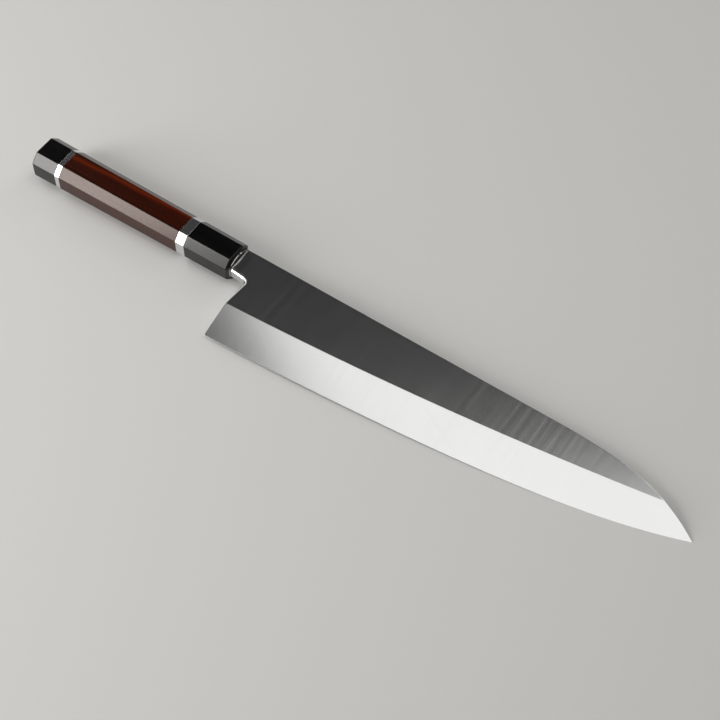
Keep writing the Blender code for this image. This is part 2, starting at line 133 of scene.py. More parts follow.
# Neck and choil
NECK_LOW_AT_SHOULDER = -0.0085
NECK_LOW_AT_CHOIL = -0.0093
CHOIL_RADIUS = 0.0028
CHOIL_END_Y = NECK_LOW_AT_CHOIL - CHOIL_RADIUS

# Rounding of the polished rims: the neck's, and the spine's as a share of the thickness
NECK_ROUND = 0.00232
SPINE_ROUND_SHARE = 0.11

# Shallow hollow ground into the flat back
HOLLOW_DEPTH = 0.0003
HOLLOW_RIM = 0.0030
HOLLOW_RUNOUT = 0.0060
HOLLOW_FROM_HEEL = 0.0200
HOLLOW_FROM_TIP = 0.0300

# Camera in the knife's frame: the point it aims at, its direction and roll in degrees, how far away it
# stands, and the lens and the sensor in millimetres
CAMERA_TARGET = (0.23256, -0.01486, -0.00188)
CAMERA_AZIMUTH = 34.16
CAMERA_ELEVATION = 56.14
CAMERA_ROLL = -0.03
CAMERA_DISTANCE = 0.89075
CAMERA_LENS = 82.52
SENSOR = 36.0


def knife_to_world():
    """The matrix that lays the knife down."""
    return Matrix.Translation(KNIFE_PLACE) @ Euler(KNIFE_TURN).to_matrix().to_4x4()


def laid_down(points):
    """Points of the knife's own frame as they lie in the world."""
    matrix = np.array(knife_to_world())
    return points @ matrix[:3, :3].T + matrix[:3, 3]


def smooth_step(share):
    """Rises from 0 to 1 as 3 t squared less 2 t cubed, level at both ends."""
    share = np.clip(share, 0.0, 1.0)
    return share * share * (3 - 2 * share)


def new_object(name, data):
    """A new object in the scene."""
    obj = bpy.data.objects.new(name, data)
    bpy.context.scene.collection.objects.link(obj)
    return obj


# Surfaces

# Points closer than this are joined
MERGE_DISTANCE = 2e-7

# Widths of the flat layout for each metre of the knife
LAYOUT_SCALE = 2

# Numbers above and below those of all finishes
ABOVE_FINISHES = 99
BELOW_FINISHES = -1


def grid_quads(rows, columns, first, ring=False):
    """Corner numbers of the four-cornered faces between the points of a grid, row by row.

    A ring joins the last column to the first one.
    """
    across = np.arange(columns if ring else columns - 1)
    a = (first + np.arange(rows - 1)[:, None] * columns + across).ravel()
    b = (first + np.arange(rows - 1)[:, None] * columns + (across + 1) % columns).ravel()
    return np.stack((a, b, b + columns, a + columns), axis=1)


class Shell:
    """Gathers grids of points into one closed mesh."""

    def __init__(self):
        self.points = []
        self.quads = []
        self.finishes = []
        self.marks = []
        self.count = 0

    def add(self, grid, finish=0, ring=False, mark=0.0, flip=False):
        """Adds a grid of rows x columns x 3 points with one finish; mark is a number for each point."""
        rows, columns = grid.shape[:2]
        quads = grid_quads(rows, columns, self.count, ring)
        self.points.append(grid.reshape(-1, 3))
        self.quads.append(quads[:, ::-1] if flip else quads)
        self.finishes.append(np.full(len(quads), finish))
        self.marks.append(np.broadcast_to(mark, (rows, columns)).ravel())
        self.count += rows * columns

    def piece(self, name, finishes, creases=()):
        """The finished mesh object: doubles merged, faces outwards, creases sharp where two finishes meet."""
        points = np.concatenate(self.points)
        mesh = bpy.data.meshes.new(name)
        mesh.from_pydata(laid_down(points), [], np.concatenate(self.quads))
        mesh.polygons.foreach_set("material_index", np.concatenate(self.finishes))
        mark = mesh.attributes.new("worn", "FLOAT", "POINT")
        mark.data.foreach_set("value", np.concatenate(self.marks))
        place = mesh.attributes.new("place", "FLOAT_VECTOR", "POINT")
        place.data.foreach_set("vector", points.ravel())
        merge_doubles(mesh)
        add_layout(mesh)
        mesh.shade_smooth()
        mark_creases(mesh, creases)
        for finish in finishes:
            mesh.materials.append(finish)
        return new_object(name, mesh)


def merge_doubles(mesh):
    """Joins points that coincide, drops faces that shrink to nothing and turns all faces outwards."""
    bm = bmesh.new()
    bm.from_mesh(mesh)
    bmesh.ops.remove_doubles(bm, verts=bm.verts, dist=MERGE_DISTANCE)
    bmesh.ops.recalc_face_normals(bm, faces=bm.faces)
    bm.to_mesh(mesh)
    bm.free()


def add_layout(mesh):
    """A flat layout whose U runs along the knife and whose V climbs with Y and, on upright walls, with Z."""
    place = np.zeros(len(mesh.vertices) * 3, np.float32)
    mesh.attributes["place"].data.foreach_get("vector", place)
    corner = np.zeros(len(mesh.loops), np.int32)
    mesh.loops.foreach_get("vertex_index", corner)
    x, y, z = place.reshape(-1, 3)[corner].T
    layout = mesh.uv_layers.new(name="along")
    flat = np.stack((x, y + z / 2), axis=1) * LAYOUT_SCALE
    layout.data.foreach_set("uv", flat.ravel().astype(np.float32))
    mesh.attributes.remove(mesh.attributes["place"])


def mark_creases(mesh, creases):
    """Sharp edges between faces whose finishes are a pair of creases."""
    corner_edge = np.zeros(len(mesh.loops), np.int32)
    mesh.loops.foreach_get("edge_index", corner_edge)
    sides = np.zeros(len(mesh.polygons), np.int32)
    mesh.polygons.foreach_get("loop_total", sides)
    finish = np.zeros(len(mesh.polygons), np.int32)
    mesh.polygons.foreach_get("material_index", finish)
    corner_finish = np.repeat(finish, sides)
    lowest = np.full(len(mesh.edges), ABOVE_FINISHES)
    highest = np.full(len(mesh.edges), BELOW_FINISHES)
    np.minimum.at(lowest, corner_edge, corner_finish)
    np.maximum.at(highest, corner_edge, corner_finish)
    sharp = np.zeros(len(mesh.edges), bool)
    for low, high in creases:
        sharp |= (lowest == low) & (highest == high)
    attribute = mesh.attributes.get("sharp_edge") or mesh.attributes.new("sharp_edge", "BOOLEAN", "EDGE")
    attribute.data.foreach_set("value", sharp)


def finish_piece(obj, slot_name, *nodes):
    """Large faces rule the shading, and the piece stands for its CAD nodes."""
    weighted = obj.modifiers.new("Even shading", "WEIGHTED_NORMAL")
    weighted.keep_sharp = True
    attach(obj, "root")
    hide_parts(*nodes)
    return obj


# Handle

RIDGE_STEPS = 5
FACET_POINTS = 5
RIDGE_MARGIN = 0.0006
ROUNDING_STEPS = 9

# Distance between two rings of points along the wood, a band and the horn
GRIP_SPACING = 0.004
BAND_SPACING = 0.0015
HORN_SPACING = 0.003


def facet_distances(x, inset):
    """How far each of the eight facets stands from the handle's axis at x, less an inset.

    Half the height for the two facets across Y, half the width for the two across Z, and
    (half height + half width - leg) / root 2 for the chamfers between them.
    """
    along = x / HANDLE_LENGTH
    height = (BUTT_HEIGHT + (FRONT_HEIGHT - BUTT_HEIGHT) * along) / 2
    width = (BUTT_WIDTH + (FRONT_WIDTH - BUTT_WIDTH) * along) / 2
    leg = BUTT_CHAMFER + (FRONT_CHAMFER - BUTT_CHAMFER) * along
    chamfer = (height + width - leg) / math.sqrt(2)
    return np.array((height, chamfer, width, chamfer) * 2) - inset


def octagon_ring(x, inset=0.0):
    """The handle's section at x: eight slightly crowned facets joined by arcs.

    Facet k faces the angle 45 k degrees in the YZ plane. The ridge between facets k and k + 1 is an arc
    round the place where both facets, moved in by the radius, cross. Between two arcs the facet's points
    stand proud of the straight line by the crown times 4 s (1 - s).
    """
    angles = np.arange(8) * math.pi / 4
    distances = facet_distances(x, inset + FACET_INSET)
    inner = distances - RIDGE_RADIUS
    following = np.roll(inner, -1)
    next_angles = angles + math.pi / 4
    sine = math.sin(math.pi / 4)
    centre_y = (inner * np.sin(next_angles) - following * np.sin(angles)) / sine
    centre_z = (following * np.cos(angles) - inner * np.cos(next_angles)) / sine
    turn = angles[:, None] + np.linspace(0, math.pi / 4, RIDGE_STEPS)
    arcs = np.stack((centre_y[:, None] + RIDGE_RADIUS * np.cos(turn),
                     centre_z[:, None] + RIDGE_RADIUS * np.sin(turn)), axis=2)
    starts = np.roll(arcs[:, -1], 1, axis=0)
    ends = arcs[:, 0]
    lengths = np.linalg.norm(ends - starts, axis=1)
    margin = RIDGE_MARGIN / lengths
    share = margin[:, None] + (1 - 2 * margin[:, None]) * np.linspace(0, 1, FACET_POINTS)
    normals = np.stack((np.cos(angles), np.sin(angles)), axis=1)
    proud = FACET_CROWN * 4 * share * (1 - share)
    facets = starts[:, None] * (1 - share[..., None]) + ends[:, None] * share[..., None]
    facets = facets + normals[:, None] * proud[..., None]
    flat = np.concatenate((facets, arcs), axis=1).reshape(-1, 2)
    ring = np.column_stack((np.full(len(flat), x), flat))
    return np.roll(ring, -(FACET_POINTS // 2), axis=0)


def ridge_marks():
    """1 at the points of every ridge's arc and 0 on the facets, in the order of octagon_ring."""
    one = np.concatenate((np.zeros(FACET_POINTS), np.ones(RIDGE_STEPS)))
    return np.roll(np.tile(one, 8), -(FACET_POINTS // 2))


def bore_ring(x, radius):
    """A circle round the axis whose points lie in the same directions as the octagon's."""
    ring = octagon_ring(x)
    around = ring[:, 1:] / np.linalg.norm(ring[:, 1:], axis=1)[:, None]
    return np.column_stack((ring[:, 0], around * radius))


def pole_ring(x):
    """The axis at x, once for every point of a ring."""
    ring = octagon_ring(x)
    return np.column_stack((ring[:, 0], np.zeros((len(ring), 2))))


def box_ring(x, clearance):
    """A rectangle round the tang, a clearance outside it, with a corner in each chamfer's direction.

    Each corner of the rectangle is one of the ring's points, and the ring's second half mirrors its first.
    """
    count = len(octagon_ring(x)) // 8
    one = np.ones(count)
    step = np.linspace(0, 1, count, endpoint=False)
    y = np.concatenate((one, 1 - step, -step, -one))
    z = np.concatenate((step, one, one, 1 - step))
    y = (TANG_HALF_HEIGHT + clearance) * np.concatenate((y, -y))
    z = (TANG_HALF_WIDTH + clearance) * np.concatenate((z, -z))
    return np.column_stack((np.full(len(y), x), y, z))


def outside_rows(start, end, start_ease, end_ease, spacing):
    """Octagon rings from start to end with an eased or rounded edge at each end.

    An ease is (depth, length) for a little slope, or one number for a quarter circle of that radius.
    """
    def eased(ease):
        if isinstance(ease, tuple):
            return [(0.0, ease[0]), (ease[1], 0.0)]
        turn = np.linspace(0, math.pi / 2, ROUNDING_STEPS)
        return [(ease * (1 - math.cos(t)), ease * (1 - math.sin(t))) for t in turn]

    first = [(start + along, inset) for along, inset in eased(start_ease)]
    last = [(end - along, inset) for along, inset in eased(end_ease)][::-1]
    count = max(2, round((end - start) / spacing))
    middle = [(x, 0.0) for x in np.linspace(first[-1][0], last[0][0], count + 1)[1:-1]]
    rows = first + middle + last
    rings = [octagon_ring(x, inset) for x, inset in rows]
    marks = [np.maximum(ridge_marks(), 1.0 if inset > 0 else 0.0) for _, inset in rows]
    return rings, marks


def handle_shell(rings, marks):
    """A closed surface through rings, with a mark for each of their points."""
    shell = Shell()
    shell.add(np.stack(rings), ring=True, mark=np.stack(marks))
    return shell


def hidden(count):
    """Marks for rings that lie on end faces and in bores."""
    return [np.zeros(len(ridge_marks()))] * count


def make_grip(finish):
    """The rosewood grip: outside, end faces, and the two blind bores, as rings from pole to pole."""
    outside, marks = outside_rows(BODY_X, FRONT_RING_X, FINE_EASE, FINE_EASE, GRIP_SPACING)
    rear = [pole_ring(CAP_BORE_END), bore_ring(CAP_BORE_END, CAP_BORE_RADIUS),
            bore_ring(BODY_X, CAP_BORE_RADIUS)]
    front = [bore_ring(FRONT_RING_X, CORE_BORE_RADIUS), bore_ring(CORE_BORE_START, CORE_BORE_RADIUS),
             pole_ring(CORE_BORE_START)]
    shell = handle_shell(rear + outside + front, hidden(3) + marks + hidden(3))
    return finish_piece(shell.piece("rosewood_grip", [finish]), "rosewood", "handle_body")


def make_band(name, node_name, start, end, bore_radius, start_ease, end_ease, finish):
    """A nickel silver band: outside, both faces and the bore, joined into one loop of rings."""
    outside, marks = outside_rows(start, end, start_ease, end_ease, BAND_SPACING)
    bore = [bore_ring(end, bore_radius), bore_ring(start, bore_radius), outside[0]]
    shell = handle_shell(outside + bore, marks + hidden(3))
    return finish_piece(shell.piece(name, [finish]), "nickel_silver", node_name)


def make_butt(finish):
    """The horn butt: the closed end face from its middle out, the rounded rim, the sides and a blind bore."""
    outside, marks = outside_rows(BUTT_INSET, REAR_RING_X, BUTT_ROUNDING, FINE_EASE, HORN_SPACING)
    middle = pole_ring(BUTT_INSET)
    face = [middle, middle * 0.5 + outside[0] * 0.5]
    bore = [bore_ring(REAR_RING_X, CAP_BORE_RADIUS), bore_ring(CAP_BORE_START, CAP_BORE_RADIUS),
            pole_ring(CAP_BORE_START)]
    shell = handle_shell(face + outside + bore, hidden(2) + marks + hidden(3))
    return finish_piece(shell.piece("horn_butt", [finish]), "horn", "butt_cap")


def make_ferrule(finish):
    """The horn ferrule: outside, rounded front, the mouth for the neck, the slot and the dowel's bore."""
    outside, marks = outside_rows(FERRULE_X, HANDLE_LENGTH, FINE_EASE, FERRULE_ROUNDING, HORN_SPACING)
    floor = HANDLE_LENGTH - POCKET_DEPTH
    inside = [box_ring(HANDLE_LENGTH, POCKET_CLEARANCE), box_ring(floor, POCKET_CLEARANCE),
              box_ring(floor, SLOT_CLEARANCE), box_ring(CORE_BORE_END, SLOT_CLEARANCE),
              bore_ring(CORE_BORE_END, CORE_BORE_RADIUS), bore_ring(FERRULE_X, CORE_BORE_RADIUS), outside[0]]
    shell = handle_shell(outside + inside, marks + hidden(7))
    return finish_piece(shell.piece("horn_ferrule", [finish]), "horn", "ferrule")


# Blade

TOP_LINE_START = SHOULDER_X - 0.001
TOP_LINE_POINTS = 6000
HALVINGS = 40


def spine_y(x):
    """The spine: rising a little from the neck, then falling with the cube of the way along its curve."""
    curve = np.maximum(0.0, (x - TIP_X + SPINE_CURVE_LENGTH) / SPINE_CURVE_LENGTH)
    return SPINE_Y + SPINE_RISE * (x - HEEL_X) / BLADE_LENGTH - SPINE_DROP * curve**3


def edge_y(x):
    """The cutting edge: a straight, a square and a sixth-power rise from the heel to the tip."""
    along = (x - HEEL_X) / BLADE_LENGTH
    tip_rise = TIP_Y - HEEL_Y - EDGE_RISE_STRAIGHT - EDGE_RISE_CURVED
    return HEEL_Y + EDGE_RISE_STRAIGHT * along + EDGE_RISE_CURVED * along**2 + tip_rise * along**6


def shinogi_y(x):
    """The ridge line between the flat upper face and the bevel, which rises nearly as the edge does."""
    along = (x - HEEL_X) / BLADE_LENGTH
    return SHINOGI_HEEL_Y + SHINOGI_RISE_STRAIGHT * along + SHINOGI_RISE_CURVED * along**2


def upper_z(x, y):
    """The bevelled side: flat above the shinogi, and below it an even, faintly crowned fall to the edge.

    The thickness at the shinogi falls evenly from the heel to the place where the shinogi ends.
    """
    full = BLADE_THICKNESS + (FRONT_THICKNESS - BLADE_THICKNESS) * (x - HEEL_X) / (RIDGE_END_X - HEEL_X)
    full = np.where(x < HEEL_X, BLADE_THICKNESS, full)
    thin = EDGE_THICKNESS * np.clip((TIP_X - x) / EDGE_FADE, 0.0, 1.0)
    across = np.clip((y - edge_y(x)) / (shinogi_y(x) - edge_y(x)), 0.0, 1.0)
    across = np.where(x < HEEL_X, 1.0, across)
    crown = KIREHA_CROWN * 4 * across * (1 - across) * np.clip((TIP_X - x) / CROWN_FADE, 0.0, 1.0)
    return BACK_Z + thin + (full - thin) * across + crown


def hollow_share(x, y):
    """1 in the middle of the back's hollow and 0 on its flat rim, with a smooth run-out between."""
    across = smooth_step((y - edge_y(x) - HOLLOW_RIM) / HOLLOW_RUNOUT)
    across = across * smooth_step((spine_y(x) - y - HOLLOW_RIM) / HOLLOW_RUNOUT)
    along = smooth_step((x - HEEL_X - HOLLOW_FROM_HEEL) / HOLLOW_RUNOUT)
    return across * along * smooth_step((TIP_X - HOLLOW_FROM_TIP - x) / HOLLOW_RUNOUT)


def lower_z(x, y):
    """The flat back with its shallow hollow."""
    return BACK_Z + HOLLOW_DEPTH * hollow_share(x, y)


def spine_rounding(x):
    """The spine's rounding: a fixed share of the thickness, so it thins out with the blade."""
    return SPINE_ROUND_SHARE * (upper_z(x, spine_y(x)) - BACK_Z)


def top_line():
    """The line where the flat upper face turns into the spine's rounding, as a long row of x and y.

    It is the spine moved inwards, square to itself, by its rounding.
    """
    x = np.linspace(TOP_LINE_START, TIP_X, TOP_LINE_POINTS)
    y = spine_y(x)
    slope = np.gradient(y, x)
    square = np.sqrt(1 + slope**2)
    inwards = spine_rounding(x)
    return x + inwards * slope / square, y - inwards / square


TOP_X, TOP_Y = top_line()


def top_y(x):
    """Height of the spine's inner line at x."""
    return np.interp(x, TOP_X, TOP_Y)


def ridge_meets_top():
    """The place where the shinogi reaches the spine's inner line, by halving the stretch that holds it."""
    low, high = HEEL_X + BLADE_LENGTH / 2, TIP_X
    for _ in range(HALVINGS):
        middle = (low + high) / 2
        if shinogi_y(middle) < top_y(middle):
            low = middle
        else:
            high = middle
    return low


HIRA, KIREHA, EDGE_BEVEL, RIM, BACK, TANG = range(6)
KIREHA_ROWS = np.linspace(0, 1, 19)
HIRA_ROWS = 26
HIRA_BORDER_ROWS = (0.006, 0.994)
RIM_STEPS = 7
HEEL_FADE = 0.012

# The most of the blade's thickness that one of a rim's two quarter circles takes
RIM_SHARE = 0.49

# Stations along the blade, from the heel forwards: a few close ones, even ones, and ones crowded at the tip
HEEL_STATIONS = (0.0, 0.0004, 0.0010, 0.0018)
EVEN_STATIONS_START = 0.003
EVEN_STATIONS = 150
TIP_STATIONS = 25
TIP_CROWDING = 1.4

# Stations along the neck, round the choil and along the tang
NECK_STATIONS = 10
CHOIL_STATIONS = 21
TANG_STATIONS = 8


def blade_columns():
    """Stations along the blade: close together at the heel and near the tip."""
    ridge = ridge_meets_top()
    heel = HEEL_X + np.array(HEEL_STATIONS)
    middle = np.linspace(HEEL_X + EVEN_STATIONS_START, ridge, EVEN_STATIONS)
    front = ridge + (TIP_X - ridge) * (1 - np.linspace(1, 0, TIP_STATIONS)[1:] ** TIP_CROWDING)
    return np.concatenate((heel, middle, front))


def hira_shares():
    """Shares of the way from the shinogi to the top line, with one at the height where the choil ends."""
    join_x = HEEL_X + NECK_ROUND
    ridge = shinogi_y(join_x)
    corner = (CHOIL_END_Y - ridge) / (top_y(join_x) - ridge)
    below = np.linspace(0, corner, HIRA_ROWS // 2 + 1)
    above = np.linspace(corner, 1, HIRA_ROWS // 2 + 1)[1:]
    return np.sort(np.concatenate((below, above, HIRA_BORDER_ROWS))), corner


def heel_rounding(height):
    """The heel's rounding at a height.

    It is the neck's rounding where the choil ends, and falls with the square of the height to 0 at the edge.
    """
    return NECK_ROUND * np.clip((height - HEEL_Y) / (CHOIL_END_Y - HEEL_Y), 0, 1) ** 2


def edge_bevel_width(x):
    """The fine edge bevel's width, and at the very tip a third of the height that is left."""
    return np.minimum(EDGE_BEVEL_WIDTH, (top_y(x) - edge_y(x)) / 3)


def blade_plan():
    """Plan of the blade as three grids of x and y: edge bevel, kireha and hira.

    Columns stand along X. Near the heel each row starts at the heel's own rounding, and this shift fades
    out along the blade.
    """
    columns = blade_columns()
    shares, corner = hira_shares()
    fade = (1 - smooth_step((columns - HEEL_X) / HEEL_FADE))[:, None]

    def stations(height):
        return columns[:, None] + heel_rounding(height) * fade

    x = stations(np.array((HEEL_Y, HEEL_Y + EDGE_BEVEL_WIDTH)))
    bevel = np.stack((x, edge_y(x) + edge_bevel_width(x) * np.array((0.0, 1.0))), axis=2)

    foot_height = HEEL_Y + EDGE_BEVEL_WIDTH
    x = stations(foot_height + (SHINOGI_HEEL_Y - foot_height) * KIREHA_ROWS)
    foot = edge_y(x) + edge_bevel_width(x)
    ridge = np.minimum(shinogi_y(x), top_y(x))
    kireha = np.stack((x, foot + (ridge - foot) * KIREHA_ROWS), axis=2)

    x = stations(SHINOGI_HEEL_Y + (CHOIL_END_Y - SHINOGI_HEEL_Y) * shares / corner)
    ridge = np.minimum(shinogi_y(x), top_y(x))
    hira = np.stack((x, ridge + (top_y(x) - ridge) * shares), axis=2)
    return bevel, kireha, hira


def choil_line():
    """The neck's lower inner line and the choil's, with their outward directions.

    A straight stretch stands NECK_ROUND above the neck's lower side. An arc follows round the choil's
    centre, NECK_ROUND outside the choil.
    """
    straight = np.linspace(SHOULDER_X, HEEL_X - CHOIL_RADIUS, NECK_STATIONS)[:-1]
    turn = np.linspace(math.pi / 2, 0, CHOIL_STATIONS)
    centre = (HEEL_X - CHOIL_RADIUS, CHOIL_END_Y)
    reach = CHOIL_RADIUS + NECK_ROUND
    arc = np.stack((centre[0] + reach * np.cos(turn), centre[1] + reach * np.sin(turn)), axis=1)
    neck = np.stack((straight, neck_low_y(straight) + NECK_ROUND), axis=1)
    outward = np.stack((-np.cos(turn), -np.sin(turn)), axis=1)
    outward = np.concatenate((np.tile((0.0, -1.0), (len(straight), 1)), outward))
    return np.concatenate((neck, arc)), outward


def neck_low_y(x):
    """The neck's lower side, which drops a little from the shoulder to the choil."""
    along = (x - SHOULDER_X) / (HEEL_X - CHOIL_RADIUS - SHOULDER_X)
    return NECK_LOW_AT_SHOULDER + (NECK_LOW_AT_CHOIL - NECK_LOW_AT_SHOULDER) * along


def neck_plan():
    """Plan of the neck: straight lines from the choil's inner line up to the top line."""
    shares, corner = hira_shares()
    rows = (shares[shares >= corner] - corner) / (1 - corner)
    low, _ = choil_line()
    x = np.linspace(SHOULDER_X, HEEL_X + NECK_ROUND, len(low))
    high = np.stack((x, top_y(x)), axis=1)
    return low[:, None] * (1 - rows[:, None]) + high[:, None] * rows[:, None]


def lift(plan, height):
    """Gives a plan's points their height."""
    return np.concatenate((plan, height(plan[..., 0], plan[..., 1])[..., None]), axis=2)


def rim_grid(line, outward, rounding):
    """The rounded rim that joins the upper face to the back along a line.

    Across the rim the points follow a quarter circle out and down from the upper face, then a flat, and
    another quarter circle in to the back. Where the blade is thin the quarters are flatter, to meet.
    """
    top = upper_z(line[:, 0], line[:, 1])
    bottom = lower_z(line[:, 0], line[:, 1])
    height = np.minimum(rounding, (top - bottom) * RIM_SHARE)
    turn = np.linspace(0, math.pi / 2, RIM_STEPS)
    out = np.concatenate((np.sin(turn), np.sin(turn)[::-1]))
    reach = line[:, None] + outward[:, None] * (rounding[:, None] * out)[..., None]
    drop = height[:, None] * (1 - np.cos(turn))
    z = np.concatenate((top[:, None] - drop, bottom[:, None] + drop[:, ::-1]), axis=1)
    return np.concatenate((reach, z[..., None]), axis=2)


def spine_line():
    """The top line from the shoulder to the tip at the stations of neck and blade, with its directions."""
    neck = neck_plan()[:, -1, 0]
    columns = blade_columns()
    shifted = columns + NECK_ROUND * (1 - smooth_step((columns - HEEL_X) / HEEL_FADE))
    x = np.concatenate((neck, shifted[1:]))
    slope = np.interp(x, TOP_X, np.gradient(TOP_Y, TOP_X))
    square = np.sqrt(1 + slope**2)
    outward = np.stack((-slope / square, 1 / square), axis=1)
    rounding = np.interp(x, TOP_X, spine_rounding(np.linspace(TOP_LINE_START, TIP_X, TOP_LINE_POINTS)))
    return np.stack((x, top_y(x)), axis=1), outward, rounding


def tang_rings(loop):
    """The tang as rings: the neck's end face drawn in to the tang's rectangle, which tapers to its end."""
    y = np.clip(loop[:, 1] / TANG_HALF_HEIGHT, -1, 1)
    z = np.clip(loop[:, 2] / TANG_HALF_WIDTH, -1, 1)
    rings = [loop]
    for share in np.linspace(0, 1, TANG_STATIONS):
        height = TANG_HALF_HEIGHT + (TANG_END_HALF_HEIGHT - TANG_HALF_HEIGHT) * share
        width = TANG_HALF_WIDTH + (TANG_END_HALF_WIDTH - TANG_HALF_WIDTH) * share
        x = SHOULDER_X + (TANG_END - SHOULDER_X) * share
        rings.append(np.column_stack((np.full(len(y), x), y * height, z * width)))
    rings.append(np.tile((TANG_END, 0.0, 0.0), (len(y), 1)))
    return np.stack(rings)


def make_blade(finishes):
    """The blade, neck and tang as one closed skin of grids."""
    bevel, kireha, hira = blade_plan()
    neck = neck_plan()
    shell = Shell()
    upper_bevel = lift(bevel, upper_z)
    upper_bevel[:, 0, 2] = BACK_Z
    shell.add(upper_bevel, EDGE_BEVEL, flip=True)
    shell.add(lift(kireha, upper_z), KIREHA, flip=True)
    shell.add(lift(hira, upper_z), HIRA, flip=True)
    shell.add(lift(neck, upper_z), HIRA, flip=True)
    for plan in (bevel, kireha, hira, neck):
        shell.add(lift(plan, lower_z), BACK, mark=hollow_share(plan[..., 0], plan[..., 1]))
    low, outward = choil_line()
    choil_rim = rim_grid(low, outward, np.full(len(low), NECK_ROUND))
    spine = rim_grid(*spine_line())
    shares, corner = hira_shares()
    heel = np.concatenate((bevel[0], kireha[0][1:], hira[0][1:][shares[1:] <= corner]))
    heel_rim = rim_grid(heel, np.tile((-1.0, 0.0), (len(heel), 1)), heel[:, 0] - HEEL_X)
    heel_rim[0, :, 2] = BACK_Z
    for rim in (choil_rim, heel_rim, spine):
        shell.add(rim, RIM)
    upper_column = lift(neck[:1], upper_z)[0]
    lower_column = lift(neck[:1], lower_z)[0]
    loop = np.concatenate((upper_column, spine[0][1:-1], lower_column[::-1], choil_rim[0][1:-1][::-1]))
    shell.add(tang_rings(loop), TANG, ring=True)
    creases = ((HIRA, KIREHA), (KIREHA, EDGE_BEVEL), (EDGE_BEVEL, BACK), (HIRA, TANG), (RIM, TANG))
    return finish_piece(shell.piece("ground_blade", finishes, creases), "blade_steel", "blade")


# Resin bead

CORNER_STEPS = 9
SIDE_POINTS = 12
LIP_STEPS = 5

# Shares of the way at which the fall of the lip, the slope and the run-out each have a ring
LIP_SHARES = (0.05, 0.5, 0.95, 1.0)
SLOPE_SHARES = (0.03, 0.2, 0.4, 0.6, 0.75, 0.88, 0.96, 1.0)
FOOT_SHARES = (0.08, 0.92, 1.0)


def neck_outline(x, margin):
    """The neck's rounded section at x, a margin outside it: broad corners below, small ones on top.

    The points run once round: the lower corner, the flat side and the upper corner, then back.
    """
    turn = np.linspace(0, math.pi / 2, CORNER_STEPS)
    rise = 1 - np.cos(turn)
    fall = 1 - np.sin(turn)
    half = -BACK_Z + margin
    low_round = NECK_ROUND + margin
    top_round = SPINE_ROUND_SHARE * BLADE_THICKNESS + margin
    low = neck_low_y(x) - margin
    top = spine_y(x) + margin
    side = np.linspace(low + low_round, top - top_round, SIDE_POINTS)[1:-1]
    right_low = np.stack((low + low_round * rise, half - low_round * fall), axis=1)
    right_side = np.stack((side, np.full(len(side), half)), axis=1)
    right_top = np.stack((top - top_round * fall, half - top_round * rise), axis=1)
    right = np.concatenate((right_low, right_side, right_top))
    left = right[::-1] * (1, -1)
    outline = np.concatenate((right, left))
    return np.column_stack((np.full(len(outline), x), outline))


def round_tang(x, clearance):
    """The tang's rectangle at x, a clearance outside it, with a point for each one of neck_outline."""
    half_height = TANG_HALF_HEIGHT + clearance
    half_width = TANG_HALF_WIDTH + clearance
    _, y, z = neck_outline(x, 0.0).T
    return np.column_stack((np.full(len(y), x), np.clip(y, -half_height, half_height),
                            np.clip(z, -half_width, half_width)))


def bead_profile():
    """Places (reach, spread, lift) along the bead, from the ferrule's face to the neck.

    A small lip rises on the face in a quarter circle and falls in a bevel. A hollow slope falls on from it
    with the square of the way, and a narrow bevel runs out on the neck.
    """
    turn = np.linspace(0, math.pi / 2, LIP_STEPS)
    places = [(BEAD_LIP_ROUND * (1 - math.cos(t)), 1.0, BEAD_LIP_LIFT - BEAD_LIP_ROUND * (1 - math.sin(t)))
              for t in turn]
    for s in LIP_SHARES:
        places.append((BEAD_LIP_ROUND + (BEAD_LIP - BEAD_LIP_ROUND) * s, 1.0, BEAD_LIP_LIFT * (1 - s)))
    for s in SLOPE_SHARES:
        places.append((BEAD_LIP + (BEAD_FOOT - BEAD_LIP) * s, (1 - s) ** 2, BEAD_FOOT_LIFT * s))
    for s in FOOT_SHARES:
        places.append((BEAD_FOOT + (BEAD_REACH - BEAD_FOOT) * s, 0.0, BEAD_FOOT_LIFT * (1 - s)))
    return places


def bead_ring(x, spread, lift):
    """The bead's section at x: spread times its width, plus a lift, outside the neck's outline.

    With u from -1 to 1 along the blade's side, the width falls with (1 - u squared) to the power 1.5, so
    the bead is shaped like a leaf.
    """
    inner = neck_outline(x, 0.0)
    outward = (neck_outline(x, BEAD_WIDTH) - inner) / BEAD_WIDTH
    middle = (spine_y(x) + neck_low_y(x)) / 2
    half = (spine_y(x) - neck_low_y(x)) / 2
    along = np.clip(np.abs(inner[:, 1] - middle) / half, 0, 1)
    width = BEAD_WIDTH * (BEAD_NARROWEST + (1 - BEAD_NARROWEST) * (1 - along**2) ** 1.5)
    return inner + outward * (width * spread + lift)[:, None]


def make_bead(finish):
    """The resin: a plug in the ferrule's mouth, and a bead round the neck in front of it."""
    face = HANDLE_LENGTH
    back = face - PLUG_DEPTH
    rings = [round_tang(back, 0.0), round_tang(back, PLUG_CLEARANCE), round_tang(face, PLUG_CLEARANCE)]
    rings += [bead_ring(face + reach, spread, lift) for reach, spread, lift in bead_profile()]
    rings += [neck_outline(SHOULDER_X, 0.0), round_tang(SHOULDER_X, 0.0), rings[0]]
    shell = Shell()
    shell.add(np.stack(rings), ring=True)
    return finish_piece(shell.piece("resin_bead", [finish]), "resin", "tang_seal")


# Materials

# The steel's streaks: how dark they are, and where along the knife they are faint and at their full strength
STREAK_DARKNESS = 0.75
FAINT_STREAKS_X = 0.26
FULL_STREAKS_X = 0.40

# The orange streak in the grip, partly orange grain and partly painted sheen: half its width, how far it
# wanders, and its climb for each metre
ORANGE_SHEEN_HALF_WIDTH = 0.0020
ORANGE_SHEEN_WANDER = 0.004
ORANGE_SHEEN_CLIMB = 0.036


